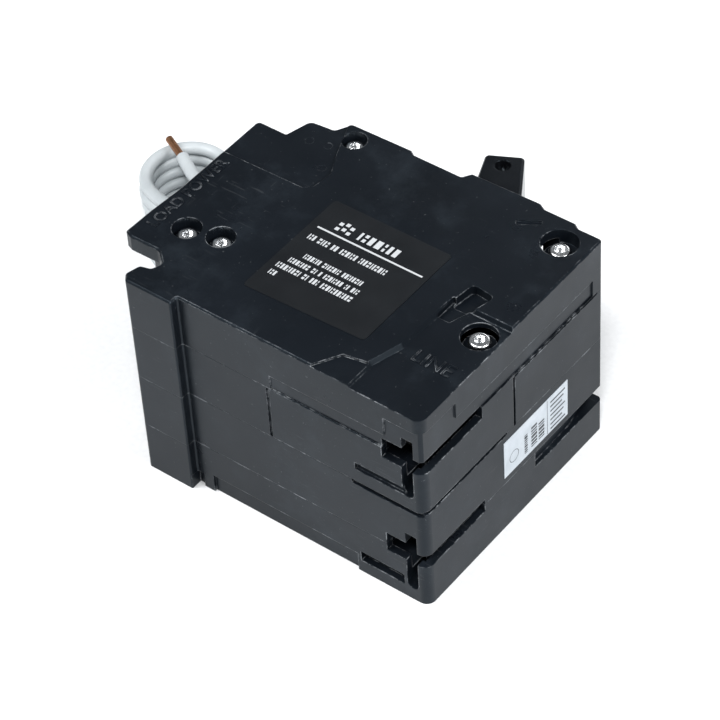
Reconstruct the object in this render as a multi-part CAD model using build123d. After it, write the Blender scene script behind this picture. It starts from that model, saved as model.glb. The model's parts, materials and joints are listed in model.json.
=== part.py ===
from build123d import *
from math import cos, degrees, pi, radians, sin, tan
import os

# Two-pole plug-on ground-fault circuit breaker, lying on its side.
# Design frame, in millimetres: X runs from the load end (negative) to the line end (X = 0),
# Y from the mounting side (Y = 0) towards the handles, Z from the lower pole to the upper pole.
# Every part is drawn there, and then moved so that the origin is at the middle of the base.

# ---- driving dimensions -------------------------------------------------------------------
POLE_PITCH = 25.4                 # one pole is one inch wide
WIDTH = 2 * POLE_PITCH
LENGTH = 76.4                     # hook finger to line end
FOOT_DEPTH = 2.0                  # the foot stands this far below the mounting side
FACE_Y = 57.8                     # height of the handle side
WALL = 2.2
BARRIER = 1.5                     # floor of each pole case, at the middle plane
COVER_DEPTH = 12.2                # bottom cover and top cover joints
COVER_EDGE = 3.6                  # thickness of each cover beside the mounting hook
LINE_RECESS = 0.95                # the top face is lower around the line stabs
POLE_Z = (WIDTH / 4 * 3, WIDTH / 4)           # middle of the upper and lower poles
STAB_Z = (37.4, 12.0)                         # planes of the bus stabs
POLE_NAMES = ("upper", "lower")

SCREW_SPOTS = ((-67.1, 15.8, 3.0), (-60.1, 17.5, 2.95), (-56.1, 54.0, 2.6), (-6.1, 52.4, 3.75), (-4.4, 24.2, 3.65))
SCREW_R = 1.45
HEAD_R = 2.2
HEAD_H = 1.5
HEAD_SINK = 1.55                  # head top below the face
BOSS_R = 3.3

PIVOT = (-22.6, 51.5)             # handle pivot
TILT = 27.0                       # handle rests this far towards the load end, which is off
LEVER_REACH = 24.1
LEVER_TIP = 3.9                   # half thickness at the tip
LEVER_DRAFT = 5.0                 # degrees
LEVER_WIDTH = 12.4                # along Z
DRUM_R = 7.8
PIN_R = 1.5
TIE_RADIUS = 21.0

ARM_PIVOT = (-14.5, 38.0)
ARM_REACH = 16.0
ARM_OPEN = 30.0                   # the arms rest open by this many degrees
PAD_R = 2.4
PIN_SPANS = ((WALL, POLE_PITCH - BARRIER), (POLE_PITCH + BARRIER, WIDTH - WALL))
STAB_GAP = 3.2                    # width of each bus stab slot
STAB_DEPTH = 18.5

CRADLE_PIVOT = (-31.0, 36.0)
LATCH_X = -45.4
TRIP_AXIS = (-47.0, 37.6)
BUTTON_X = -49.2
BUTTON_SIZE = (6.0, 8.0)
BOARD_Y = (46.6, 48.2)
TOROID = (-58.8, 33.0)            # X and Y of its middle
TOROID_R = (4.6, 9.3)
LUG_X = (-73.0, -64.6)
LUG_Y = (21.6, 32.0)
LUG_WIDTH = 9.6
LOAD_FACE = -75.6
NEUTRAL_Z = 28.6                  # above the coil, so that a wire can be pushed straight in
NEUTRAL_Y = (37.4, 44.4)
DRIVER_X = -70.9                  # screwdriver holes on the shelf

WIRE_R = 1.4
COPPER_R = 0.815
COIL_CENTRE = (-100.0, 51.6)
COIL_R = 8.8
COIL_TURNS = 8
COIL_PITCH = 2.85
EXIT = (LOAD_FACE, 36.0, 19.05)

ORIGIN = (-38.14, 36.235, 0.0)     # middle of the base in the design frame


# ---- helpers ------------------------------------------------------------------------------
def block(x, y, z):
    """A box from three (low, high) pairs."""
    size = (x[1] - x[0], y[1] - y[0], z[1] - z[0])
    middle = ((x[0] + x[1]) / 2, (y[0] + y[1]) / 2, (z[0] + z[1]) / 2)
    return Pos(*middle) * Box(*size)


def rod(x, y, radius, z):
    """A cylinder along Z from z[0] to z[1]."""
    return Pos(x, y, (z[0] + z[1]) / 2) * Cylinder(radius, z[1] - z[0])


def rod_x(y, z, radius, x):
    return Pos((x[0] + x[1]) / 2, y, z) * Rot(0, 90, 0) * Cylinder(radius, x[1] - x[0])


def rod_y(x, z, radius, y):
    return Pos(x, (y[0] + y[1]) / 2, z) * Rot(90, 0, 0) * Cylinder(radius, y[1] - y[0])


def plate(points, z, radii=0.3):
    """A flat plate in the X-Y plane with rounded corners."""
    if not isinstance(radii, (list, tuple)):
        radii = [radii] * len(points)
    wire = FilletPolyline(*points, radius=list(radii), close=True)
    return Pos(0, 0, z[0]) * extrude(make_face(wire), z[1] - z[0])


def solids(items):
    return Compound(children=[solid for item in items for solid in item.solids()])


def tube(points, radius):
    """A round tube along straight runs joined by arcs as large as the runs allow."""
    corners = [Vector(*p) for p in points]
    radii = []
    for before, here, after in zip(corners, corners[1:], corners[2:]):
        run_in = here - before
        run_out = after - here
        half_turn = radians(run_in.get_angle(run_out)) / 2
        radii.append(0.45 * min(run_in.length, run_out.length) / tan(half_turn))
    path = FilletPolyline(*points, radius=radii)
    start = Plane(origin=path @ 0, z_dir=path % 0)
    body = sweep(start * Circle(radius), path=path)
    print("tube radii", [round(r, 1) for r in radii], "length", round(path.length, 1))
    return body


def on_circle(centre, radius, angle):
    return (centre[0] + radius * cos(radians(angle)), centre[1] + radius * sin(radians(angle)))


# ---- case ---------------------------------------------------------------------------------
OUTLINE = (
    (0, 0, 2.0), (-56.5, 0, 0.4), (-56.5, -2.0, 0.4), (-67.5, -2.0, 0.8), (-68.8, -0.3, 1.0),
    (-67.9, 2.8, 0.9), (-65.6, 3.4, 0.8), (-64.8, 5.6, 0.9), (-67.6, 8.0, 1.4), (-74.6, 7.9, 0.6),
    (-76.4, 8.6, 0.9), (-76.2, 16.0, 2.0), (-75.6, 24.0, 2.0), (-75.6, 48.2, 0.8), (-68.6, 48.2, 0.5),
    (-67.0, 54.0, 1.5), (-61.4, 54.5, 1.2), (-59.6, 57.8, 1.2), (-45.2, 58.1, 0.6), (-44.0, 57.3, 0.5),
    (-32.6, 57.3, 0.4), (-31.4, 59.2, 0.8), (-15.6, 59.6, 0.8), (-14.0, 58.7, 0.6), (-6.9, 58.7, 0.6),
    (-5.6, 57.8, 0.5), (0, 57.8, 0.9))
BAY = ((-13.5, 2.2), (-54.3, 2.2), (-54.3, 11.8), (-69.5, 11.8), (-73.4, 16.0), (-73.4, 46.0),
       (-66.0, 46.0), (-66.0, 51.6), (-57.4, 51.6), (-57.4, 55.4), (-2.2, 55.4), (-2.2, 21.9), (-13.5, 21.9))


def case_blank(z, inset=0.0):
    wire = FilletPolyline(*[p[:2] for p in OUTLINE], radius=[p[2] for p in OUTLINE], close=True)
    face = make_face(wire)
    if inset:
        face = offset(face, -inset, kind=Kind.INTERSECTION)
    return Pos(0, 0, z[0]) * extrude(face, z[1] - z[0])


def bay(z):
    return plate(BAY, z, 0.6)


def bosses(z):
    keep = [rod(x, y, BOSS_R, z) for x, y, _ in SCREW_SPOTS]
    inside = case_blank(z, 0.6)
    return [boss & inside for boss in keep]


def screw_holes(z):
    return [rod(x, y, SCREW_R + 0.05, z) for x, y, _ in SCREW_SPOTS]


def stab_openings():
    """Stab slots, cross slots and jaw pockets, as they are cut from the case pieces."""
    cuts = []
    for z in STAB_Z:
        half = STAB_GAP / 2
        cuts.append(block((-12.0, -1.7), (1.7, 20.2), (z - 5.2, z + 5.2)))
        cuts.append(block((-9.4, 1.0), (-1.0, STAB_DEPTH), (z - half, z + half)))
        cuts.append(block((-9.4, -2.3), (-1.0, 2.5), (z - half, z + 3.2)))
        cuts.append(block((-4.9, -2.3), (-1.0, 6.0), (z - 7.6, z + 6.0)))
        cuts.append(rod_y(-3.6, z - 7.6, 1.3, (-1.0, 6.0)))
        cuts.append(block((-13.8, -8.6), (15.0, 24.0), (z - 3.4, z + 3.4)))
    return cuts


def handle_slots():
    cuts = []
    half = LEVER_WIDTH / 2 + 0.3
    for z in POLE_Z:
        cuts.append(block((PIVOT[0] - 10.4, PIVOT[0] + 10.4), (52.0, 61.0), (z - half, z + half)))
    return cuts


def load_openings():
    """Wire holes in the load end and screwdriver holes in the shelf."""
    cuts = []
    for z in POLE_Z:
        cuts.append(rod_x(27.0, z, 3.3, (-78, LUG_X[0] + 0.6)))
        cuts.append(rod_y(DRIVER_X, z, 2.9, (45.5, 49)))
    cuts.append(rod_x(41.0, NEUTRAL_Z, 2.6, (-78, LUG_X[0] + 0.6)))
    cuts.append(rod_y(DRIVER_X, NEUTRAL_Z, 2.9, (45.5, 49)))
    cuts.append(rod_x(EXIT[1], EXIT[2], 2.0, (-78, -73)))
    return cuts


def button_opening():
    half_x = BUTTON_SIZE[0] / 2 + 0.2
    half_z = BUTTON_SIZE[1] / 2 + 0.2
    middle = WIDTH / 2
    return block((BUTTON_X - half_x, BUTTON_X + half_x), (55.0, 59.0), (middle - half_z, middle + half_z))


def pivot_holes():
    return [rod(*PIVOT, PIN_R + 0.05, (2.0, WIDTH - 2.0))]


def cut_all(body, cuts):
    for cut in cuts:
        body = body - cut
    return body


def side_grooves():
    """Shallow grooves on the mounting side and line end that show where the case pieces lap."""
    cuts = [block((-35.2, -9.0), (-0.5, 0.35), (38.4, 39.0))]
    cuts.append(block((-17.0, 0.5), (-0.5, 0.7), (24.3, 25.4)))
    cuts.append(block((-36.3, -35.7), (-0.5, 0.4), (25.4, 38.4)))
    cuts.append(block((-16.0, -4.5), (-0.5, 0.7), (28.6, 30.4)))
    cuts.append(block((-16.0, -5.6), (-0.5, 1.5), (3.1, 5.7)))
    cuts.append(block((-52.5, -16.8), (-0.5, 0.6), (-0.5, 4.6)))
    cuts.append(block((-0.45, 0.5), (28.5, 56.0), (38.0, 38.5)))
    cuts.append(block((-0.7, 0.5), (-0.5, 26.0), (24.9, 25.7)))
    cuts.append(block((-0.5, 0.5), (28.3, 28.9), (25.4, 38.2)))
    return cuts


def hook_relief(z):
    """The recess beside the mounting hook, under the overhanging edge of each cover."""
    points = ((-78.0, 6.4), (-67.4, 6.4), (-68.0, 9.2), (-71.2, 10.2), (-74.4, 14.2), (-78.0, 16.6))
    return plate(points, z, 0.5)


def corner_notch():
    """The tapered notch low on the line end, deepest at the handle side."""
    points = ((0.5, 35.0), (0.5, 60.0), (-3.4, 60.0), (-3.0, 57.0), (-1.2, 48.0), (-1.0, 35.0))
    return plate(points, (8.2, 12.2), 0.2)


def bottom_cover():
    z = (0.0, COVER_DEPTH)
    body = case_blank(z)
    body = body - bay((WALL, z[1]))
    body = cut_all(body, stab_openings() + handle_slots() + load_openings())
    for boss in bosses((WALL - 0.2, z[1])):
        body = body + boss
    body = cut_all(body, [rod(x, y, SCREW_R + 0.05, (5.0, z[1])) for x, y, _ in SCREW_SPOTS])
    body = body + rod(*PIVOT, 3.0, (WALL - 0.2, POLE_Z[1] - LEVER_WIDTH / 2 - 0.3))
    body = cut_all(body, [rod(*PIVOT, PIN_R + 0.05, (WALL, z[1])), corner_notch()])
    return cut_all(body, side_grooves() + foot_notch() + [hook_relief((COVER_EDGE, z[1] + 1))])


def neutral_pocket():
    """Room for the neutral lug in the barrier between the poles."""
    half = 4.0
    return block((-73.4, -65.2), (NEUTRAL_Y[0] - 0.4, NEUTRAL_Y[1] + 1.6), (NEUTRAL_Z - half, NEUTRAL_Z + half))


def foot_notch():
    """Relief between the foot and the mounting side at the lower edge."""
    return [block((-56.6, -55.0), (-3.0, 0.6), (-0.5, 3.6))]


def middle_window(z):
    """The electronics share one bay, so the barrier is open there."""
    return plate(((-66.0, 22.0), (-43.0, 22.0), (-43.0, 55.4), (-57.4, 55.4), (-57.4, 51.6), (-66.0, 51.6)), z, 0.5)


def lower_case():
    z = (COVER_DEPTH, POLE_PITCH)
    body = case_blank(z)
    body = body - bay((z[0], z[1] - BARRIER))
    body = body - middle_window((z[1] - BARRIER - 0.1, z[1]))
    body = cut_all(body, stab_openings() + handle_slots() + load_openings() + [button_opening(), neutral_pocket()])
    for boss in bosses(z):
        body = body + boss
    body = body + rod(*PIVOT, 3.0, (POLE_Z[1] + LEVER_WIDTH / 2 + 0.3, z[1] - 0.2))
    body = body - hook_relief((z[0] - 1, z[1] + 1))
    return cut_all(body, screw_holes((z[0] - 1, z[1] + 1)) + pivot_holes() + side_grooves())


def upper_case():
    z = (POLE_PITCH, WIDTH - COVER_DEPTH)
    body = case_blank(z)
    body = body - bay((z[0] + BARRIER, z[1]))
    body = body - middle_window((z[0], z[0] + BARRIER + 0.1))
    body = cut_all(body, stab_openings() + handle_slots() + load_openings() + [button_opening(), neutral_pocket()])
    for boss in bosses(z):
        body = body + boss
    body = body + rod(*PIVOT, 3.0, (z[0] + 0.2, POLE_Z[0] - LEVER_WIDTH / 2 - 0.3))
    body = body - hook_relief((z[0] - 1, z[1] + 1))
    return cut_all(body, screw_holes((z[0] - 1, z[1] + 1)) + pivot_holes() + side_grooves())


def line_recess():
    """The lower step of the top face around the line stabs, with a sloped wall."""
    points = ((2, -2), (-16.1, -2), (-16.1, 6.9), (-14.0, 13.8), (-13.6, 28.3), (2, 28.3))
    floor = make_face(FilletPolyline(*points, radius=0.5, close=True))
    step = Pos(0, 0, WIDTH - LINE_RECESS) * extrude(floor, LINE_RECESS + 0.05, taper=-32)
    strip = ((-16.4, -1), (-25.6, -1), (-21.7, 5.6), (-16.4, 6.6))
    return step + plate(strip, (WIDTH - 0.4, WIDTH + 1), 0.3)


def top_pockets():
    """Shallow pockets and dimples moulded in the top face."""
    top = WIDTH
    cuts = [plate(((-13.6, 28.0), (-8.8, 28.4), (-7.6, 33.4), (-12.8, 34.0)), (top - 2.0, top + 1), 0.9)]
    cuts.append(plate(((-14.0, 24.0), (-11.2, 24.0), (-9.6, 28.6), (-14.0, 29.4)), (top - 1.6, top + 1), 0.3))
    for x, y in ((-56.7, 44.4), (-59.7, 50.2), (-63.7, 49.4)):
        cuts.append(rod(x, y, 0.9, (top - 0.5, top + 1)))
    cuts.append(plate(((-16.0, 52.0), (-11.8, 54.6), (-12.4, 55.6), (-16.6, 53.0)), (top - 0.35, top + 1), 0.2))
    return cuts


def load_step():
    """The corner by the neutral terminal is a step lower."""
    points = ((-78, 37.0), (-56.0, 37.4), (-54.4, 39.0), (-53.9, 43.6), (-56.6, 49.0), (-61.0, 60.0), (-78, 60.0))
    return plate(points, (WIDTH - 0.45, WIDTH + 1), 0.3)


def top_cover():
    z = (WIDTH - COVER_DEPTH, WIDTH)
    body = case_blank(z)
    body = body - bay((z[0], z[1] - WALL))
    rim = body.edges().filter_by(lambda edge: edge.bounding_box().min.Z > z[1] - 0.01)
    body = chamfer(rim, 0.35)
    body = body - line_recess() - load_step()
    body = cut_all(body, stab_openings() + handle_slots() + load_openings() + top_pockets())
    for boss in bosses((z[0], z[1] - WALL + 0.2)):
        body = body + boss
    body = body + rod(*PIVOT, 3.0, (POLE_Z[0] + LEVER_WIDTH / 2 + 0.3, z[1] - WALL + 0.2))
    body = body - rod(*PIVOT, PIN_R + 0.05, (z[0], WIDTH - 2.0))
    for x, y, radius in SCREW_SPOTS:
        body = body - rod(x, y, radius, (WIDTH - HEAD_SINK - HEAD_H - 0.2, WIDTH + 1))
        body = body - rod(x, y, SCREW_R + 0.05, z)
    return cut_all(body, side_grooves() + lap_line() + [hook_relief((z[0] - 1, WIDTH - COVER_EDGE))])


def lap_line():
    """A fine step where the cover laps the case near the line end."""
    z_low = WIDTH - COVER_DEPTH
    cuts = [block((-35.2, -8.6), (-0.5, 0.25), (z_low, 42.0))]
    cuts.append(block((-8.6, 0.5), (-0.5, 0.3), (z_low, 46.4)))
    cuts.append(block((-0.3, 0.5), (-0.5, 10.5), (z_low, 46.4)))
    cuts.append(block((-0.3, 0.5), (10.5, 54.4), (z_low, 42.6)))
    return cuts


def case_screws():
    screws = []
    top = WIDTH - HEAD_SINK
    for x, y, radius in SCREW_SPOTS:
        head_r = min(HEAD_R, radius - 0.5)
        head = rod(x, y, head_r, (top - HEAD_H, top))
        head = fillet(head.edges().group_by(Axis.Z)[-1], 0.7)
        socket = Pos(x, y, top - 0.9) * extrude(RegularPolygon(1.15, 6), 1.0)
        socket = socket - rod(x, y, 0.4, (top - 1.0, top))
        screws.append(head - socket + rod(x, y, SCREW_R, (6.0, top - HEAD_H + 0.1)))
    return solids(screws)


# ---- handles ------------------------------------------------------------------------------
def handle(pole_z):
    """Lever and drum, drawn upright about the pivot and then tilted to off."""
    half = LEVER_WIDTH / 2
    z = (pole_z - half, pole_z + half)
    root = 5.0
    spread = LEVER_TIP + (LEVER_REACH - root) * tan(radians(LEVER_DRAFT))
    points = ((-LEVER_TIP, LEVER_REACH), (LEVER_TIP, LEVER_REACH), (spread, root), (-spread, root))
    lever = plate(points, z, 0.9)
    side_edges = lever.edges().group_by(Axis.Z)
    lever = chamfer(side_edges[0] + side_edges[-1], 0.35)
    drum = rod(0, 0, DRUM_R, z) - block((-9, 9), (-9, -4.0), (z[0] - 1, z[1] + 1))
    body = lever + drum
    body = body - rod(0, 0, PIN_R + 0.05, (z[0] - 1, z[1] + 1))
    body = body - rod(0, TIE_RADIUS, 1.6, (z[0] - 1, z[1] + 1))
    return Pos(*PIVOT, 0) * Rot(0, 0, TILT) * body


def handle_tie():
    x, y = on_circle(PIVOT, TIE_RADIUS, 90 + TILT)
    return rod(x, y, 1.58, (POLE_Z[1] - LEVER_WIDTH / 2 + 3.0, POLE_Z[0] + LEVER_WIDTH / 2 - 3.0))


def handle_pin():
    return rod(*PIVOT, PIN_R, (WALL + 0.1, WIDTH - WALL - 0.1))


# ---- current path -------------------------------------------------------------------------
def line_jaw(stab_z):
    """Two sprung legs that grip the bus stab, a bridge, and a strap up to the fixed contact."""
    legs = []
    for side in (-1, 1):
        near = 1.35
        far = 2.7
        points = ((near, 11.2), (far, 6.6), (far + 0.8, 6.6), (near + 0.9, 11.4), (near + 0.9, 17.6), (near, 17.6))
        profile = FilletPolyline(*[(0, y, stab_z + side * d) for d, y in points], radius=0.3, close=True)
        leg = extrude(make_face(profile), 6.4, dir=(1, 0, 0))
        legs.append(Pos(-9.6, 0, 0) * leg)
    bridge = block((-9.6, -3.2), (17.5, 18.5), (stab_z - 2.25, stab_z + 2.25))
    strap = block((-10.8, -9.6), (16.0, 26.6), (stab_z - 2.25, stab_z + 2.25))
    return legs[0] + legs[1] + bridge + strap


def fixed_contacts():
    y = ARM_PIVOT[1] - ARM_REACH
    return solids([rod_x(y, z, PAD_R, (-12.0, -10.8)) for z in STAB_Z])


def swing_open(shape):
    return Pos(*ARM_PIVOT, 0) * Rot(0, 0, -ARM_OPEN) * shape


def contact_arm(stab_z):
    """A copper arm that hangs from its pivot, drawn closed and then swung open."""
    pad_y = -ARM_REACH
    points = ((-3.0, 1.8), (1.8, 1.8), (1.8, -2.0), (0.1, -8.0), (0.1, pad_y - 2.6), (-2.6, pad_y - 2.6),
              (-3.0, -8.0), (-4.0, -2.0))
    arm = plate(points, (stab_z - 1.6, stab_z + 1.6), 0.3)
    arm = arm - rod(0, 0, 1.05, (stab_z - 2, stab_z + 2))
    return swing_open(arm)


def moving_contact(stab_z):
    pad = rod_x(-ARM_REACH, stab_z, PAD_R, (0.1, 2.45))
    return swing_open(pad)


def arm_pins():
    return solids([rod(*ARM_PIVOT, 1.0, z) for z in PIN_SPANS])


def toggle_spring(stab_z):
    """A tension spring beside each arm, between the arm and the cradle."""
    helix = Helix(pitch=1.25, height=10.0, radius=1.7)
    start = Plane(origin=helix @ 0, z_dir=helix % 0)
    coil = sweep(start * Circle(0.4), path=helix, is_frenet=True)
    coil = Rot(0, -90, 0) * coil
    return Pos(-19.6, 36.6, stab_z + 5.4) * Rot(0, 0, 10) * coil


def cradle(stab_z):
    """The trip lever: a steel plate that the armature latches by its tip."""
    points = ((2.6, -2.4), (2.6, 2.4), (-2.6, 2.6), (-14.2, -2.4), (-14.8, -4.0), (-12.8, -4.4), (-2.0, -2.6))
    lever = plate(points, (stab_z - 0.8, stab_z + 0.8), 0.4)
    lever = lever - rod(0, 0, 1.05, (stab_z - 1, stab_z + 1))
    return Pos(*CRADLE_PIVOT, 0) * lever


def cradle_pins():
    return solids([rod(*CRADLE_PIVOT, 1.0, z) for z in PIN_SPANS])


def arc_plates(stab_z):
    """Five steel plates, notched for the arc, in a row below the contacts."""
    plates = []
    for step in range(5):
        x = -30.0 + 2.6 * step
        sheet = block((x, x + 1.0), (5.0, 17.0), (stab_z - 6.0, stab_z + 6.0))
        plates.append(sheet - block((x - 1, x + 2), (11.0, 18.0), (stab_z - 1.8, stab_z + 1.8)))
    return solids(plates)


def arc_side_sheets():
    sheets = []
    for stab_z in STAB_Z:
        for z in (stab_z - 6.45, stab_z + 6.45):
            sheets.append(block((-31.0, -17.6), (4.6, 17.4), (z - 0.4, z + 0.4)))
    return solids(sheets)


def bimetal(pole_z):
    return block((-51.6, -50.6), (9.8, 36.0), (pole_z - 2.6, pole_z + 2.6))


def magnet_yoke(pole_z):
    """A U-shaped steel yoke on the bimetal; its lower tab holds the calibration screw."""
    back = block((-52.8, -51.6), (17.6, 31.0), (pole_z - 4.6, pole_z + 4.6))
    side_a = block((-51.7, -48.6), (22.0, 31.0), (pole_z - 4.6, pole_z - 3.4))
    side_b = block((-51.7, -48.6), (22.0, 31.0), (pole_z + 3.4, pole_z + 4.6))
    return back + side_a + side_b - rod_x(20.0, pole_z, 1.2, (-54, -51))


def armature(pole_z):
    """A steel flap, hinged low on its knife edge; its window holds the cradle tip."""
    flap = block((LATCH_X - 1.2, LATCH_X), (15.0, 35.0), (pole_z - 3.0, pole_z + 3.0))
    hinge = rod(LATCH_X - 0.6, 15.0, 0.9, (pole_z - 4.0, pole_z + 4.0))
    window = block((LATCH_X - 2, LATCH_X + 1), (31.0, 34.0), (pole_z - 1.6, pole_z + 1.6))
    return flap + hinge - window


def armature_seats():
    """The clips that the armatures' hinge edges rock in."""
    x = LATCH_X - 0.6
    y = 15.0
    seats = []
    for z in POLE_Z:
        body = block((x - 1.9, x + 1.9), (y - 3.4, y + 0.4), (z - 3.8, z + 3.8))
        body = body - rod(x, y, 1.0, (z - 5, z + 5))
        seats.append(body - block((x - 1.0, x + 1.0), (y, y + 1), (z - 5, z + 5)))
    return solids(seats)


def braids():
    """Flexible copper braid from each bimetal's foot to its contact arm."""
    runs = []
    for pole_z, stab_z in zip(POLE_Z, STAB_Z):
        points = ((-50.6, 10.8, pole_z), (-46.2, 10.4, pole_z), (-41.0, 7.0, pole_z), (-36.2, 7.6, stab_z),
                  (-33.4, 13.0, stab_z), (-32.6, 20.0, stab_z), (-28.6, 25.4, stab_z), (-24.0, 28.6, stab_z))
        runs.append(tube(points, 0.8))
    return solids(runs)


def load_strap(pole_z):
    """Insulated lead from the bimetal to the load lug through the sensing core."""
    side = 1 if pole_z > WIDTH / 2 else -1
    core = WIDTH / 2 + side * 2.2
    points = ((-51.1, 37.2, pole_z), (-52.6, 36.4, pole_z - side * 5), (-54.6, 33.4, core + side * 1.6),
              (-58.8, 33.0, core), (-63.4, 33.2, core + side * 1.4), (-66.4, 34.4, pole_z - side * 6.6),
              (-68.0, 33.6, pole_z - side * 2.0))
    return tube(points, 1.0)


def load_lug(pole_z):
    """A box lug: the wire goes in along X, and the screw clamps it from the handle side."""
    half = LUG_WIDTH / 2
    lug = block(LUG_X, LUG_Y, (pole_z - half, pole_z + half))
    lug = lug - rod_x(27.0, pole_z, 2.6, (-78, LUG_X[1] - 1.2))
    return lug - rod_y(DRIVER_X, pole_z, 1.95, (27.0, LUG_Y[1] + 1))


def neutral_lug():
    half = 3.6
    lug = block((LUG_X[0], LUG_X[1] - 1.0), (NEUTRAL_Y[0], NEUTRAL_Y[1]), (NEUTRAL_Z - half, NEUTRAL_Z + half))
    lug = lug - rod_x(41.0, NEUTRAL_Z, 2.1, (-78, LUG_X[1] - 2.2))
    return lug - rod_y(DRIVER_X, NEUTRAL_Z, 1.8, (41.0, NEUTRAL_Y[1] + 1))


def slotted_screw(z, radius, y):
    body = rod_y(DRIVER_X, z, radius, y)
    return body - block((DRIVER_X - 4.0, DRIVER_X + 4.0), (y[1] - 1.0, y[1] + 1), (z - 0.4, z + 0.4))


def terminal_screws():
    screws = [slotted_screw(z, 1.9, (29.8, 34.0)) for z in POLE_Z]
    screws.append(slotted_screw(NEUTRAL_Z, 1.75, (43.3, 45.6)))
    return solids(screws)


# ---- trip train and electronics -----------------------------------------------------------
def trip_bar():
    """A moulded bar across both poles: a finger pushes each armature, and a paddle takes the plunger."""
    x, y = TRIP_AXIS
    bar = rod(x, y, 1.4, (5.0, WIDTH - 5.0)) + rod(x, y, 0.8, (3.0, WIDTH - 3.0))
    for z in POLE_Z:
        side = (z + 1.9, z + 3.1)
        bar = bar + block((x, x + 3.1), (y - 0.9, y + 0.9), side)
        bar = bar + block((x + 2.0, x + 3.1), (y - 5.0, y), side)
    return bar + block((x - 0.7, x + 0.7), (y, y + 8.6), (WIDTH / 2 - 2.6, WIDTH / 2 + 2.6))


def trip_bar_bearings():
    x, y = TRIP_AXIS
    ears = []
    for z in ((WALL, 4.8), (WIDTH - 4.8, WIDTH - WALL)):
        ears.append(block((x - 2.4, x + 2.4), (y - 2.4, y + 2.4), z) - rod(x, y, 0.85, (2.9, WIDTH - 2.9)))
    return solids(ears)


def solenoid_frame():
    z = (WIDTH / 2 - 5.4, WIDTH / 2 + 5.4)
    outer = block((-62.6, -51.0), (43.0, 46.4), z)
    inner = block((-61.4, -52.2), (42.0, 47.0), (z[0] + 1.2, z[1] - 1.2))
    return outer - inner - rod_x(44.6, WIDTH / 2, 1.5, (-64, -50))


def solenoid_coil():
    y = 44.6
    return rod_x(y, WIDTH / 2, 1.75, (-61.4, -52.2)) - rod_x(y, WIDTH / 2, 1.35, (-64, -50))


def plunger():
    y = 44.6
    return rod_x(y, WIDTH / 2, 1.2, (-60.6, -48.9))


def circuit_board():
    board = block((-65.4, -44.0), BOARD_Y, (6.0, WIDTH - 6.0))
    return board - rod_y(-47.0, WIDTH / 2, 1.0, (45, 50))


def board_parts():
    """Chip, capacitor, surge disc, resistors and the trip thyristor, on the handle side of the board."""
    y = BOARD_Y[1]
    chip = block((-64.0, -59.0), (y, y + 1.4), (27.0, 35.0))
    disc = rod_x(y + 1.6, 40.6, 1.6, (-63.6, -60.8))
    disc = disc & block((-64, -60), (y, y + 4), (38, 44))
    thyristor = block((-63.6, -60.4), (y, y + 2.6), (16.0, 20.0))
    resistors = [rod_x(y + 0.9, z, 0.85, (-56.6, -50.0)) & block((-57, -49), (y, y + 3), (z - 2, z + 2))
                 for z in (9.0, 11.4, 13.8)]
    return solids([chip, disc, thyristor] + resistors)


def capacitor():
    y = BOARD_Y[1]
    can = rod_y(-48.8, 37.6, 2.6, (y, y + 5.2))
    return fillet(can.edges().group_by(Axis.Y)[-1], 0.4)


def sensing_core():
    x, y = TOROID
    ring = rod_x(y, WIDTH / 2, TOROID_R[1], (x - 3.2, x + 3.2)) - rod_x(y, WIDTH / 2, TOROID_R[0], (x - 9, x + 9))
    return fillet(ring.edges(), 0.6)


def test_button():
    half_x = BUTTON_SIZE[0] / 2
    half_z = BUTTON_SIZE[1] / 2
    middle = WIDTH / 2
    cap = block((BUTTON_X - half_x, BUTTON_X + half_x), (55.6, 59.9), (middle - half_z, middle + half_z))
    cap = fillet(cap.edges().group_by(Axis.Y)[-1], 0.5)
    flange_z = (middle - half_z - 0.9, middle + half_z + 0.9)
    flange = block((BUTTON_X - half_x, BUTTON_X + half_x), (54.2, 55.2), flange_z)
    neck = block((BUTTON_X - half_x, BUTTON_X + half_x), (55.1, 55.7), (middle - half_z, middle + half_z))
    return cap + neck + flange + rod_y(BUTTON_X, middle, 1.1, (51.2, 54.3))


def test_contact():
    """A bent strip on the board that the button's stem presses down."""
    middle = WIDTH / 2
    foot = block((-56.4, -54.6), (BOARD_Y[1], BOARD_Y[1] + 1.0), (middle - 1.2, middle + 1.2))
    return foot + block((-56.4, -48.6), (BOARD_Y[1] + 0.6, BOARD_Y[1] + 1.0), (middle - 1.2, middle + 1.2))


def test_spring():
    """The button's return spring, drawn at its pressed length."""
    helix = Helix(pitch=0.8, height=2.4, radius=1.9)
    start = Plane(origin=helix @ 0, z_dir=helix % 0)
    coil = sweep(start * Circle(0.25), path=helix, is_frenet=True)
    return Pos(BUTTON_X, BOARD_Y[1] + 1.35, WIDTH / 2) * Rot(-90, 0, 0) * coil


def calibration_screws():
    return solids([rod_x(20.0, z, 1.2, (-56.2, -51.6)) for z in POLE_Z])


# ---- labels -------------------------------------------------------------------------------
def rating_label():
    points = ((-48.4, 9.6), (-20.6, 10.6), (-20.6, 38.0), (-48.4, 38.0))
    return plate(points, (WIDTH, WIDTH + 0.12), 0.8)


def date_label():
    return block((0.0, 0.12), (24.8, 45.8), (13.9, 23.4))


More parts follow.
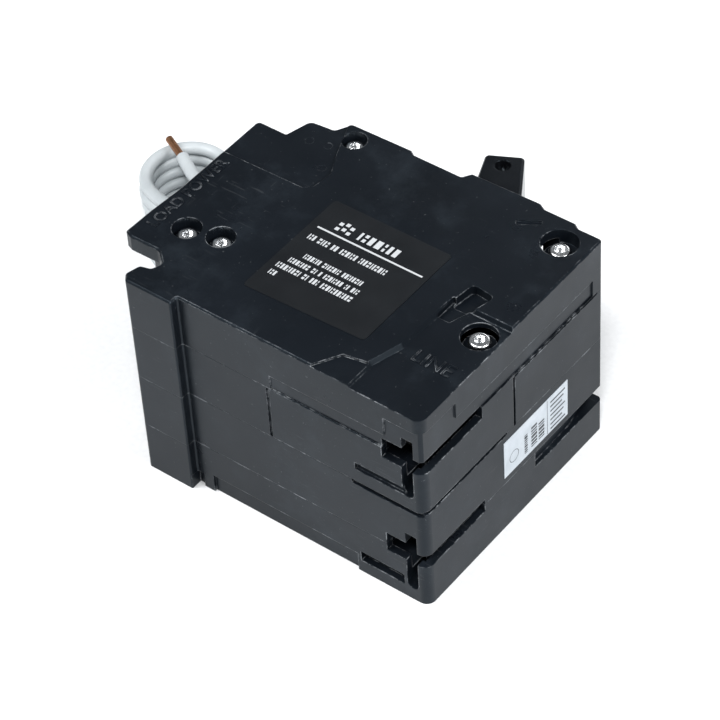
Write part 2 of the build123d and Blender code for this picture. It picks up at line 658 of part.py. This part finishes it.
# ---- neutral pigtail ----------------------------------------------------------------------
LEAD_ROUTE = (EXIT, (-81.4, 36.1, 18.4), (-86.9, 37.9, 14.2), (-90.4, 42.0, 8.6), (-91.4, 47.0, 3.6),
              (-91.2, 52.4, 1.5))
END_HEIGHT = COIL_TURNS * COIL_PITCH + WIRE_R
END_ROUTE = ((-108.4, 48.9, END_HEIGHT), (-106.2, 45.2, END_HEIGHT), (-102.6, 42.6, END_HEIGHT),
             (-97.0, 40.9, END_HEIGHT), (-93.8, 42.5, END_HEIGHT), (-92.6, 45.8, END_HEIGHT),
             (-93.8, 49.1, END_HEIGHT), (-102.3, 53.2, END_HEIGHT))
TIP_END = (-108.4, 56.2, END_HEIGHT)


def coil_solid():
    top = COIL_TURNS * COIL_PITCH
    return rod(*COIL_CENTRE, COIL_R + WIRE_R, (0, top)) - rod(*COIL_CENTRE, COIL_R - WIRE_R, (-1, top + 1))


def pigtail_lead():
    pieces = (tube(LEAD_ROUTE, WIRE_R) - coil_solid()).solids()
    return max(pieces, key=lambda piece: piece.volume)


def pigtail_end():
    return tube(END_ROUTE, WIRE_R)


def pigtail_tip():
    start = Vector(*END_ROUTE[-1])
    along = Vector(*TIP_END) - start
    return extrude(Plane(origin=start, z_dir=along) * Circle(COPPER_R), along.length)


def strain_relief():
    """A bushing in the load end that grips the wire."""
    collar = rod_x(EXIT[1], EXIT[2], 1.95, (LOAD_FACE + 0.1, -73.0))
    flange = rod_x(EXIT[1], EXIT[2], 2.6, (-73.1, -72.2))
    return collar + flange - rod_x(EXIT[1], EXIT[2], WIRE_R + 0.02, (-78, -71))


def neutral_lead():
    """The pigtail's inner stretch, from the bushing through the sensing core."""
    points = ((LOAD_FACE + 0.4, EXIT[1], EXIT[2]), (-69.6, 36.0, 19.4), (-66.0, 35.8, 21.6), (-62.0, 35.7, 25.0),
              (-57.6, 35.7, 25.6), (-54.4, 36.6, 26.2))
    return tube(points, 1.0)


# ---- the whole breaker --------------------------------------------------------------------
def breaker():
    parts = {
        "top_cover": top_cover(),
        "upper_case": upper_case(),
        "lower_case": lower_case(),
        "bottom_cover": bottom_cover(),
        "case_screws": case_screws(),
        "handle_tie_pin": handle_tie(),
        "handle_pivot_pin": handle_pin(),
        "arm_pivot_pins": arm_pins(),
        "cradle_pivot_pins": cradle_pins(),
        "fixed_contacts": fixed_contacts(),
        "arc_side_sheets": arc_side_sheets(),
        "armature_seats": armature_seats(),
        "braids": braids(),
        "neutral_lug": neutral_lug(),
        "terminal_screws": terminal_screws(),
        "trip_bar": trip_bar(),
        "trip_bar_bearings": trip_bar_bearings(),
        "solenoid_frame": solenoid_frame(),
        "solenoid_coil": solenoid_coil(),
        "solenoid_plunger": plunger(),
        "circuit_board": circuit_board(),
        "board_parts": board_parts(),
        "capacitor": capacitor(),
        "sensing_core": sensing_core(),
        "test_button": test_button(),
        "test_contact": test_contact(),
        "test_spring": test_spring(),
        "calibration_screws": calibration_screws(),
        "rating_label": rating_label(),
        "date_label": date_label(),
        "strain_relief": strain_relief(),
        "neutral_lead": neutral_lead(),
        "pigtail_lead": pigtail_lead(),
        "pigtail_coil": coil_solid(),
        "pigtail_end": pigtail_end(),
        "pigtail_tip": pigtail_tip(),
    }
    for name, pole_z, stab_z in zip(POLE_NAMES, POLE_Z, STAB_Z):
        parts["handle_" + name] = handle(pole_z)
        parts["line_jaw_" + name] = line_jaw(stab_z)
        parts["contact_arm_" + name] = contact_arm(stab_z)
        parts["moving_contact_" + name] = moving_contact(stab_z)
        parts["toggle_spring_" + name] = toggle_spring(stab_z)
        parts["cradle_" + name] = cradle(stab_z)
        parts["arc_plates_" + name] = arc_plates(stab_z)
        parts["bimetal_" + name] = bimetal(pole_z)
        parts["magnet_yoke_" + name] = magnet_yoke(pole_z)
        parts["armature_" + name] = armature(pole_z)
        parts["load_lead_" + name] = load_strap(pole_z)
        parts["load_lug_" + name] = load_lug(pole_z)
    return parts


def main():
    os.makedirs("parts", exist_ok=True)
    to_row = Pos(-ORIGIN[0], -ORIGIN[1], -ORIGIN[2])
    for name, shape in breaker().items():
        export_step(to_row * shape, "parts/" + name + ".step")


main()
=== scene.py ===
import bpy
import bmesh
import json
from math import cos, pi, radians, sin
from mathutils import Euler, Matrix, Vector


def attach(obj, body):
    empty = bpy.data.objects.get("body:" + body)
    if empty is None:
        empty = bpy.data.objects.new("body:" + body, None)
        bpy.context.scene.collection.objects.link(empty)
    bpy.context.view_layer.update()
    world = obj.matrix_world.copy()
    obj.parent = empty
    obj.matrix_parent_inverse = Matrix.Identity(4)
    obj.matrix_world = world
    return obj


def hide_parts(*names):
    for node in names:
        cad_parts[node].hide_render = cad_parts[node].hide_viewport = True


# Looks for the two-pole ground-fault breaker. Points and sizes in the helpers below are given
# in the design frame in millimetres, as in part.py: X = 0 is the line end, Y = 0 the mounting
# side and Z = 0 the base. at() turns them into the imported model's frame, in metres.

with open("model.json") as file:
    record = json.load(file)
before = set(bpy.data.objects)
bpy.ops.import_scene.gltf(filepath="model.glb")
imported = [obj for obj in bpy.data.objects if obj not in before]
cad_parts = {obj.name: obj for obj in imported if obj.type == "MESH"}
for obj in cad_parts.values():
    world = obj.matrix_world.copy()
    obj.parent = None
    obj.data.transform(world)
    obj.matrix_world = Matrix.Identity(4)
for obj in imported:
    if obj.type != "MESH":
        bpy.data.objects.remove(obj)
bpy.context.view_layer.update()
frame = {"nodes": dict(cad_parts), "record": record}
NODES = frame["nodes"]

ORIGIN = (-38.14, 36.235, 0.0)
TOP = 50.8                       # top face of the case
RECESS = 0.95                    # the line corner of the top face is this much lower
POLE_Z = (38.1, 12.7)

INK_LIFT = 0.13                  # top of the black label, with the ink on it
DATE_INK = 0.135                 # face of the date label, with the ink on it
MARK_GROWTH = 0.00009            # the moulded words stand up by this much, in metres

WIRE = 2.8                       # pigtail diameter
EXIT = (-75.6, 36.0, 19.05)
COIL_CENTRE = (-100.0, 51.6)
COIL_R = 8.8
COIL_PITCH = 2.85
COIL_LAYERS = 8


def at(x, y, z):
    return ((x - ORIGIN[0]) / 1000, (y - ORIGIN[1]) / 1000, (z - ORIGIN[2]) / 1000)


# ---- camera and light ---------------------------------------------------------------------
def add_camera():
    data = bpy.data.cameras.new("camera")
    data.lens = 157.53
    data.sensor_width = 36.0
    camera = bpy.data.objects.new("camera", data)
    camera.location = (0.28237, -0.34115, 0.45404)
    camera.rotation_euler = Euler((radians(45.198), radians(2.779), radians(37.390)), "XYZ")
    bpy.context.scene.collection.objects.link(camera)
    bpy.context.scene.camera = camera


def add_area(name, place, target, size, watts, colour=(1, 1, 1)):
    data = bpy.data.lights.new(name, "AREA")
    data.shape = "RECTANGLE"
    data.size, data.size_y = size
    data.energy = watts
    data.color = colour
    lamp = bpy.data.objects.new(name, data)
    lamp.location = place
    aim = (Vector(target) - Vector(place)).to_track_quat("-Z", "Y")
    lamp.rotation_euler = aim.to_euler()
    bpy.context.scene.collection.objects.link(lamp)


def add_lights():
    world = bpy.data.worlds.new("studio")
    world.use_nodes = True
    world.node_tree.nodes["Background"].inputs["Color"].default_value = (0.92, 0.96, 1.0, 1)
    world.node_tree.nodes["Background"].inputs["Strength"].default_value = 0.22
    bpy.context.scene.world = world
    middle = (0, 0, 0.02)
    add_area("key", (-0.45, -0.45, 0.85), middle, (0.45, 0.35), 7.5)
    add_area("fill", (0.80, 0.05, 0.60), middle, (0.40, 0.40), 9)
    add_area("ring", (0.26, -0.36, 0.66), middle, (0.10, 0.10), 2.8)
    add_area("back", (-0.20, 0.85, 0.60), middle, (0.60, 0.12), 1)


def add_floor():
    mesh = bpy.data.meshes.new("floor")
    size = 3.0
    corners = [(-size, -size, 0), (size, -size, 0), (size, size, 0), (-size, size, 0)]
    mesh.from_pydata(corners, [], [(0, 1, 2, 3)])
    floor = bpy.data.objects.new("floor", mesh)
    bpy.context.scene.collection.objects.link(floor)
    floor.data.materials.append(plain("floor_paper", (0.93, 0.94, 0.95), 0.85))


# ---- materials ----------------------------------------------------------------------------
COOL_GLOSS = (0.70, 0.86, 1.0, 1)    # black phenolic shines a little blue


class Shader:
    """A small helper for wiring one Principled material."""

    def __init__(self, name):
        self.material = bpy.data.materials.new(name)
        self.material.use_nodes = True
        self.tree = self.material.node_tree
        self.base = self.tree.nodes["Principled BSDF"]

    def add(self, kind, **settings):
        node = self.tree.nodes.new(kind)
        for key, value in settings.items():
            setattr(node, key, value)
        return node

    def link(self, out, into):
        self.tree.links.new(out, into)

    def noise(self, scale, detail=4.0, rough=0.55, stretch=(1, 1, 1)):
        place = self.add("ShaderNodeTexCoord")
        spread = self.add("ShaderNodeMapping")
        spread.inputs["Scale"].default_value = stretch
        self.link(place.outputs["Object"], spread.inputs["Vector"])
        node = self.add("ShaderNodeTexNoise")
        node.inputs["Scale"].default_value = scale
        node.inputs["Detail"].default_value = detail
        node.inputs["Roughness"].default_value = rough
        self.link(spread.outputs["Vector"], node.inputs["Vector"])
        return node.outputs["Fac"]

    def ramp(self, source, low, high, dark=(0, 0, 0, 1), light=(1, 1, 1, 1)):
        node = self.add("ShaderNodeValToRGB")
        node.color_ramp.elements[0].position = low
        node.color_ramp.elements[1].position = high
        node.color_ramp.elements[0].color = dark
        node.color_ramp.elements[1].color = light
        self.link(source, node.inputs["Fac"])
        return node.outputs["Color"]

    def tones(self, source, low, high, dark, light):
        """A ramp between two colours given without their alpha."""
        return self.ramp(source, low, high, tuple(dark) + (1,), tuple(light) + (1,))

    def maths(self, operation, a, b):
        node = self.add("ShaderNodeMath", operation=operation)
        for slot, value in zip(node.inputs, (a, b)):
            if isinstance(value, (int, float)):
                slot.default_value = value
            else:
                self.link(value, slot)
        return node.outputs["Value"]

    def mix(self, factor, a, b):
        node = self.add("ShaderNodeMix", data_type="RGBA")
        for slot, value in ((node.inputs[0], factor), (node.inputs[6], a), (node.inputs[7], b)):
            if isinstance(value, (int, float, tuple)):
                slot.default_value = value
            else:
                self.link(value, slot)
        return node.outputs[2]

    def rounded(self, radius):
        node = self.add("ShaderNodeBevel")
        node.samples = 6
        node.inputs["Radius"].default_value = radius
        return node.outputs["Normal"]

    def edge_mask(self, radius, low, high):
        """Bright along edges: where the rounded normal leaves the true one."""
        true = self.add("ShaderNodeNewGeometry")
        dot = self.add("ShaderNodeVectorMath", operation="DOT_PRODUCT")
        self.link(self.rounded(radius), dot.inputs[0])
        self.link(true.outputs["Normal"], dot.inputs[1])
        turned = self.maths("SUBTRACT", 1.0, dot.outputs["Value"])
        return self.ramp(turned, low, high)

    def bump(self, height, strength, distance, normal=None):
        node = self.add("ShaderNodeBump")
        node.inputs["Strength"].default_value = strength
        node.inputs["Distance"].default_value = distance
        self.link(height, node.inputs["Height"])
        if normal is not None:
            self.link(normal, node.inputs["Normal"])
        self.link(node.outputs["Normal"], self.base.inputs["Normal"])


def plain(name, colour, rough):
    """A matt colour with a fine grain, for the floor and the printed ink."""
    shader = Shader(name)
    shader.base.inputs["Roughness"].default_value = rough
    grain = shader.noise(900, 3)
    dark = tuple(c * 0.94 for c in colour)
    shader.link(shader.tones(grain, 0.3, 0.7, dark, colour), shader.base.inputs["Base Color"])
    return shader.material


def moulded_case():
    """Black phenolic: semi-gloss, smudged, finely scratched, and rubbed pale along worn edges."""
    shader = Shader("case_moulding")
    colour = shader.tones(shader.noise(38, 5), 0.3, 0.75, (0.0030, 0.0042, 0.0062), (0.0062, 0.0082, 0.0115))
    smudge = shader.ramp(shader.noise(70, 6, 0.7), 0.52, 0.72)
    colour = shader.mix(shader.maths("MULTIPLY", smudge, 0.55), colour, (0.017, 0.022, 0.028, 1))
    scuff = shader.ramp(shader.noise(520, 6, 0.7), 0.46, 0.58)
    patch = shader.ramp(shader.noise(75, 3), 0.40, 0.56)
    worn = shader.edge_mask(0.0004, 0.02, 0.18)
    wear = shader.maths("MULTIPLY", worn, shader.maths("MULTIPLY", scuff, patch))
    colour = shader.mix(shader.maths("MULTIPLY", wear, 0.95), colour, (0.30, 0.32, 0.34, 1))
    along = shader.ramp(shader.noise(160, 2, 0.5, (1.0, 11.0, 11.0)), 0.68, 0.71)
    across = shader.ramp(shader.noise(150, 2, 0.5, (12.0, 1.0, 12.0)), 0.70, 0.73)
    scratches = shader.maths("MAXIMUM", along, across)
    faint = shader.maths("MULTIPLY", scratches, shader.ramp(shader.noise(30, 2), 0.46, 0.62))
    colour = shader.mix(shader.maths("MULTIPLY", faint, 0.09), colour, (0.16, 0.17, 0.18, 1))
    dust = shader.ramp(shader.noise(1500, 2, 0.5), 0.72, 0.76)
    colour = shader.mix(shader.maths("MULTIPLY", dust, 0.22), colour, (0.20, 0.21, 0.22, 1))
    shader.link(colour, shader.base.inputs["Base Color"])
    rough = shader.tones(shader.noise(90, 5), 0.25, 0.8, (0.26, 0.26, 0.26), (0.40, 0.40, 0.40))
    shader.link(shader.mix(wear, rough, (0.6, 0.6, 0.6, 1)), shader.base.inputs["Roughness"])
    shader.base.inputs["Specular IOR Level"].default_value = 0.20
    shader.base.inputs["Specular Tint"].default_value = COOL_GLOSS
    shader.bump(shader.noise(2600, 3), 0.10, 0.00006, shader.rounded(0.00022))
    return shader.material


def glossy_black():
    """The handles: the same colour, moulded in a smoother plastic."""
    shader = Shader("handle_moulding")
    shader.base.inputs["Specular IOR Level"].default_value = 0.30
    shader.base.inputs["Specular Tint"].default_value = COOL_GLOSS
    colour = shader.tones(shader.noise(55, 4), 0.3, 0.7, (0.0022, 0.0026, 0.0034), (0.0044, 0.0050, 0.0062))
    shader.link(colour, shader.base.inputs["Base Color"])
    rough = shader.tones(shader.noise(200, 4), 0.3, 0.8, (0.16, 0.16, 0.16), (0.28, 0.28, 0.28))
    shader.link(rough, shader.base.inputs["Roughness"])
    shader.bump(shader.noise(1400, 3), 0.06, 0.00005, shader.rounded(0.00035))
    return shader.material


def metal(name, dark, light, low, high, radius=0.00012, grain=700, stretch=(1, 1, 1)):
    """Bare or plated metal; low and high are its smoothest and roughest patches."""
    shader = Shader(name)
    shader.base.inputs["Metallic"].default_value = 1.0
    cloud = shader.noise(grain, 4, 0.6, stretch)
    shader.link(shader.tones(cloud, 0.3, 0.72, dark, light), shader.base.inputs["Base Color"])
    rough = shader.ramp(shader.noise(grain * 1.7, 4), 0.3, 0.75, (low,) * 3 + (1,), (high,) * 3 + (1,))
    shader.link(rough, shader.base.inputs["Roughness"])
    shader.bump(shader.noise(grain * 2.2, 4, 0.6, stretch), 0.18, 0.00004, shader.rounded(radius))
    return shader.material


def moulded(name, dark, light, low, high, radius=0.0002):
    """A moulded or painted part inside the case."""
    shader = Shader(name)
    colour = shader.tones(shader.noise(240, 4), 0.3, 0.7, dark, light)
    shader.link(colour, shader.base.inputs["Base Color"])
    rough = shader.ramp(shader.noise(500, 4), 0.3, 0.75, (low,) * 3 + (1,), (high,) * 3 + (1,))
    shader.link(rough, shader.base.inputs["Roughness"])
    shader.bump(shader.noise(1800, 3), 0.10, 0.00005, shader.rounded(radius))
    return shader.material


def insulation():
    """White extruded insulation with a cold tint, slightly waxy, with faint handling marks."""
    shader = Shader("wire_insulation")
    colour = shader.tones(shader.noise(130, 4), 0.3, 0.7, (0.46, 0.50, 0.52), (0.56, 0.60, 0.62))
    marks = shader.ramp(shader.noise(700, 5, 0.65), 0.64, 0.72)
    colour = shader.mix(shader.maths("MULTIPLY", marks, 0.35), colour, (0.24, 0.26, 0.29, 1))
    shader.link(colour, shader.base.inputs["Base Color"])
    rough = shader.tones(shader.noise(300, 3), 0.3, 0.7, (0.30, 0.30, 0.30), (0.45, 0.45, 0.45))
    shader.link(rough, shader.base.inputs["Roughness"])
    shader.base.inputs["Subsurface Weight"].default_value = 0.06
    shader.base.inputs["Subsurface Radius"].default_value = (0.001, 0.001, 0.001)
    shader.bump(shader.noise(1500, 3), 0.08, 0.00004)
    return shader.material


def dress_nodes():
    zinc = metal("zinc_plate", (0.62, 0.63, 0.64), (0.82, 0.83, 0.84), 0.14, 0.30)
    brass = metal("tinned_brass", (0.60, 0.57, 0.48), (0.74, 0.71, 0.62), 0.24, 0.40)
    copper = metal("bare_copper", (0.23, 0.115, 0.06), (0.40, 0.20, 0.11), 0.34, 0.52,
                   0.0001, 900, (1, 6, 6))
    winding = metal("enamelled_copper", (0.45, 0.16, 0.07), (0.60, 0.26, 0.12), 0.22, 0.35,
                    0.0001, 2600, (9, 1, 1))
    aluminium = metal("plated_aluminium", (0.70, 0.70, 0.69), (0.84, 0.84, 0.83), 0.28, 0.42)
    silver = metal("contact_silver", (0.76, 0.75, 0.71), (0.90, 0.89, 0.86), 0.30, 0.45)
    bimetal = metal("bimetal_strip", (0.42, 0.39, 0.34), (0.56, 0.53, 0.48), 0.30, 0.46,
                    0.0001, 500, (1, 8, 1))
    made = {
        "case_black": moulded_case(),
        "handle_black": glossy_black(),
        "zinc_steel": zinc,
        "terminal_steel": zinc,
        "bimetal_strip": bimetal,
        "lug_aluminium": aluminium,
        "tinned_brass": brass,
        "contact_silver": silver,
        "bare_copper": copper,
        "coil_copper": winding,
        "fibre_grey": moulded("vulcanised_fibre", (0.19, 0.16, 0.14), (0.30, 0.26, 0.22), 0.6, 0.8),
        "moulded_black": moulded("inner_moulding", (0.012, 0.012, 0.013), (0.024, 0.024, 0.026), 0.35, 0.55),
        "board_green": moulded("board_mask", (0.012, 0.10, 0.035), (0.02, 0.16, 0.06), 0.25, 0.4),
        "capacitor_can": moulded("capacitor_sleeve", (0.02, 0.025, 0.08), (0.03, 0.04, 0.12), 0.2, 0.35),
        "core_coating": moulded("core_paint", (0.05, 0.09, 0.20), (0.07, 0.13, 0.28), 0.3, 0.5),
        "button_yellow": moulded("button_moulding", (0.62, 0.42, 0.03), (0.76, 0.53, 0.05), 0.28, 0.42),
        "label_black": label_film(),
        "label_white": label_paper(),
        "insulation_white": insulation(),
        "insulation_black": moulded("black_insulation", (0.01, 0.01, 0.011), (0.02, 0.02, 0.022), 0.3, 0.45),
    }
    for row in frame["record"]["subparts"]:
        mesh = NODES[row["node"]].data
        mesh.materials.clear()
        mesh.materials.append(made[row["material_slot"]])
    return made


def label_film():
    """Black printed film, a touch smoother than the case, with faint wrinkles."""
    shader = Shader("label_film")
    shader.base.inputs["Specular IOR Level"].default_value = 0.34
    shader.base.inputs["Specular Tint"].default_value = COOL_GLOSS
    colour = shader.tones(shader.noise(80, 4), 0.3, 0.7, (0.0050, 0.0052, 0.0060), (0.0090, 0.0095, 0.0105))
    shader.link(colour, shader.base.inputs["Base Color"])
    rough = shader.tones(shader.noise(150, 4), 0.3, 0.7, (0.30, 0.30, 0.30), (0.40, 0.40, 0.40))
    shader.link(rough, shader.base.inputs["Roughness"])
    shader.bump(shader.noise(160, 3), 0.12, 0.0001)
    return shader.material


def label_paper():
    """The white date label: matt paper with a faint tooth."""
    shader = Shader("label_paper")
    colour = shader.tones(shader.noise(300, 4), 0.3, 0.7, (0.38, 0.42, 0.46), (0.46, 0.50, 0.54))
    shader.link(colour, shader.base.inputs["Base Color"])
    shader.base.inputs["Roughness"].default_value = 0.55
    shader.bump(shader.noise(1200, 3), 0.10, 0.00004)
    return shader.material


# ---- the pigtail --------------------------------------------------------------------------
LEAD_POINTS = (EXIT, (-81.4, 36.1, 18.4), (-86.9, 37.9, 14.2), (-88.6, 42.0, 8.6), (-88.3, 46.6, 3.8),
               (-88.2, 51.2, 1.5), (-89.6, 56.0, 1.45))
END_POINTS = ((-97.0, 41.6, 22.0), (-93.5, 42.2, 23.2), (-92.0, 45.5, 24.1), (-93.9, 48.5, 24.4),
              (-98.0, 50.6, 24.4), (-102.3, 53.2, 24.2))


def smooth(share):
    share = max(0.0, min(1.0, share))
    return share * share * (3 - 2 * share)


def coil_points():
    """Turns that lie flat on each other and step up a layer on the side towards the case."""
    points = []
    step = 20                    # degrees between points
    first = 50                   # where the lead joins the bottom turn
    last = 360 * (COIL_LAYERS - 1) + 260
    step_end = 25                # each step up ends at this angle
    step_span = 115              # and takes this many degrees
    for angle in range(first, last + 1, step):
        layer, around = divmod(angle - step_end, 360)
        rise = smooth((around - (360 - step_span)) / step_span)
        z = WIRE / 2 + 0.05 + COIL_PITCH * min(layer + rise, COIL_LAYERS - 1)
        radius = COIL_R * 1.012 + 0.22 * sin(radians(angle * 0.83)) - 0.10 * (layer % 2)
        x = COIL_CENTRE[0] + 0.18 * sin(layer * 2.1) + radius * cos(radians(angle))
        y = COIL_CENTRE[1] + 0.18 * cos(layer * 1.7) + radius * sin(radians(angle))
        points.append((x, y, z))
    return points


def pigtail(material):
    points = list(LEAD_POINTS) + coil_points() + list(END_POINTS)
    curve = bpy.data.curves.new("pigtail_wire", "CURVE")
    curve.dimensions = "3D"
    curve.bevel_depth = WIRE / 2000
    curve.bevel_resolution = 6
    curve.use_fill_caps = True
    spline = curve.splines.new("NURBS")
    spline.points.add(len(points) - 1)
    for target, point in zip(spline.points, points):
        target.co = at(*point) + (1,)
    spline.order_u = 3
    spline.use_endpoint_u = True
    spline.resolution_u = 8
    wire = bpy.data.objects.new("pigtail_wire", curve)
    bpy.context.scene.collection.objects.link(wire)
    wire.data.materials.append(material)
    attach(wire, "root")
    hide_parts("pigtail_lead", "pigtail_coil", "pigtail_end")


# ---- print and raised marks ---------------------------------------------------------------
def piece_from(bm, name, material):
    mesh = bpy.data.meshes.new(name)
    bm.to_mesh(mesh)
    bm.free()
    mesh.materials.append(material)
    piece = bpy.data.objects.new(name, mesh)
    bpy.context.scene.collection.objects.link(piece)
    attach(piece, "root")
    return piece


def quad(bm, corners):
    bm.faces.new([bm.verts.new(at(*corner)) for corner in corners])


def top_bar(bm, x, y, height):
    """A printed bar on the top label."""
    z = TOP + INK_LIFT
    quad(bm, ((x[0], y, z), (x[1], y, z), (x[1], y + height, z), (x[0], y + height, z)))


def print_row(draw, start, end, y, height, words, letter):
    """A row of thin upright strokes, grouped like words, in place of readable print."""
    x = start
    for index, count in enumerate(words):
        for step in range(count):
            width = letter * (0.30 + 0.14 * ((index * 3 + step * 5) % 4))
            if x + width > end:
                return
            if (index + step) % 3 == 1:
                draw((x, x + width), y, height * 0.40)
                draw((x, x + width), y + height * 0.62, height * 0.38)
            else:
                draw((x, x + width), y, height)
            x += width + letter * 0.34
        x += letter * 0.70


def label_print(material):
    bm = bmesh.new()

    def draw(x, y, height):
        top_bar(bm, x, y, height)

    print_row(draw, -38.4, -24.2, 31.4, 2.2, (7,), 1.70)
    for column in range(3):
        left = -43.6 + 1.3 * column
        for row in (31.3, 32.8):
            draw((left, left + 0.85), row + 0.45 * (column % 2), 0.85)
    draw((-46.6, -21.8), 29.9, 0.42)
    print_row(draw, -46.4, -22.0, 26.4, 1.45, (3, 4, 2, 6, 10), 0.78)
    print_row(draw, -43.6, -25.6, 21.6, 1.30, (7, 7, 8), 0.70)
    print_row(draw, -45.4, -23.0, 19.3, 1.30, (8, 2, 1, 7, 2, 3), 0.72)
    print_row(draw, -46.6, -21.9, 17.0, 1.40, (9, 2, 3, 11), 0.76)
    print_row(draw, -46.6, -42.4, 14.7, 1.30, (3,), 0.76)
    piece_from(bm, "label_print", material)


def end_bar(bm, y, z, height):
    """A printed bar on the date label, which is on the line end and reads from above."""
    x = DATE_INK
    quad(bm, ((x, y[0], z), (x, y[1], z), (x, y[1], z + height), (x, y[0], z + height)))


def date_print(material):
    bm = bmesh.new()
    for step in range(0, 14, 2):
        end_bar(bm, (40.0, 44.9 - 0.5 * (step % 3)), 14.5 + 0.6 * step, 0.42)
    end_bar(bm, (38.9, 39.05), 14.1, 9.1)
    for low, high, count, letter in ((36.05, 37.95, 6, 1.0), (33.65, 35.55, 7, 1.0), (31.4, 32.4, 9, 0.7)):

        def draw(z, y, height):
            """print_row runs along the label's length, which is Z here; each stroke spans the column."""
            end_bar(bm, (low, high), z[0], z[1] - z[0])

        print_row(draw, 15.0, 22.8, 0, 0, (count,), letter)
    inner = 1.35
    outer = 1.5
    steps = 28
    for step in range(steps):
        a = 2 * pi * step / steps
        b = 2 * pi * (step + 1) / steps
        corners = [(DATE_INK, 28.0 + r * cos(t), 17.6 + r * sin(t)) for r, t in
                   ((inner, a), (outer, a), (outer, b), (inner, b))]
        quad(bm, corners)
    piece_from(bm, "date_print", material)


def raised_word(word, name, place, turn, size, material):
    data = bpy.data.curves.new(name, "FONT")
    data.body = word
    data.size = size / 1000
    data.align_x = "CENTER"
    data.align_y = "CENTER"
    data.extrude = MARK_GROWTH
    data.bevel_depth = 0.00004
    data.offset = -0.00003
    text = bpy.data.objects.new(name + "_text", data)
    bpy.context.scene.collection.objects.link(text)
    bpy.context.view_layer.update()
    mesh = bpy.data.meshes.new_from_object(text.evaluated_get(bpy.context.evaluated_depsgraph_get()))
    bpy.data.objects.remove(text)
    piece = bpy.data.objects.new(name, mesh)
    piece.location = at(*place)
    piece.rotation_euler = (0, 0, radians(turn))
    mesh.materials.clear()
    mesh.materials.append(material)
    bpy.context.scene.collection.objects.link(piece)
    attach(piece, "root")


# ---- the whole scene ----------------------------------------------------------------------
add_camera()
add_lights()
add_floor()
made = dress_nodes()
pigtail(made["insulation_white"])
label_print(plain("label_ink_white", (0.50, 0.52, 0.54), 0.5))
date_print(plain("label_ink_dark", (0.03, 0.034, 0.04), 0.5))
raised_word("LINE", "line_mark", (-7.2, 13.6, TOP - RECESS + 0.06), 0, 4.4, made["case_black"])
raised_word("LOAD POWER", "load_mark", (-73.2, 23.6, TOP + 0.08), 90, 3.5, made["case_black"])

bpy.context.scene.view_settings.view_transform = "Standard"
